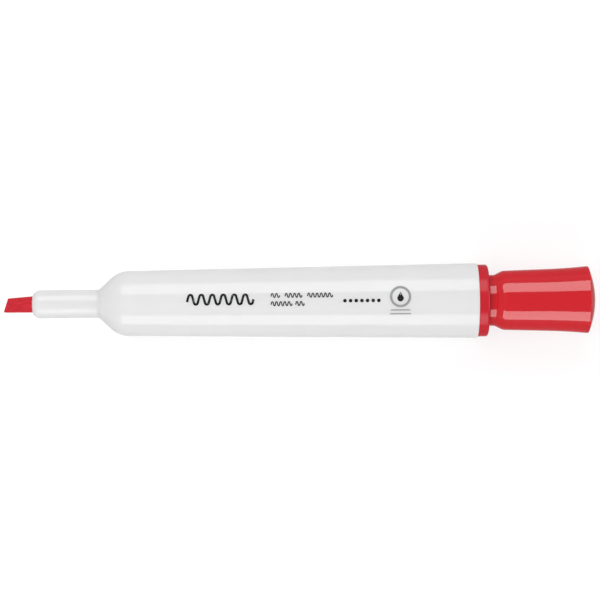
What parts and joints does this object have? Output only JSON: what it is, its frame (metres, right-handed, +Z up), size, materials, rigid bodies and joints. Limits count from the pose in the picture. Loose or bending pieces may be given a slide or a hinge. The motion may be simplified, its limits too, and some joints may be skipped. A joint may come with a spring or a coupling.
{
  "type": "felt tip marker",
  "caption": "Round tapered felt tip marker with a slanted chisel nib, its flared cap parked on a post behind the barrel.",
  "frame": {"origin": "on the marker's axis, halfway between the nib's point and the end of the parked cap", "axes": "+X along the axis towards the cap, -X towards the nib; +Z up, out of the nib's broad face; the nib's long point is on the -Y side"},
  "size_m": [0.1418, 0.018, 0.018],
  "materials": {
    "white_barrel": "satin moulded polypropylene",
    "red_felt": "bonded polyester fibre, inked",
    "inked_fibre": "fibre bundle, soaked",
    "clear_film": "thin film",
    "natural_tube": "extruded",
    "red_plug": "gloss moulded polypropylene",
    "red_cap": "gloss moulded polypropylene",
    "natural_liner": "soft moulded polyethylene"
  },
  "bodies": {
    "marker": {"barrel": "white_barrel", "nib": "red_felt", "reservoir_core": "inked_fibre", "reservoir_wrap": "clear_film", "breather_tube": "natural_tube", "rear_plug": "red_plug"},
    "inner_cap": {"cap_liner": "natural_liner"},
    "outer_cap": {"cap_shell": "red_cap"}
  },
  "joints": [
    {"name": "cap_slide", "type": "slide", "parent": "marker", "child": "inner_cap", "axis": [1, 0, 0], "range_m": [0, 0.015]},
    {"name": "cap_twist", "type": "hinge", "parent": "inner_cap", "child": "outer_cap", "pos_m": [0.06, 0, 0], "axis": [1, 0, 0], "continuous": true}
  ]
}
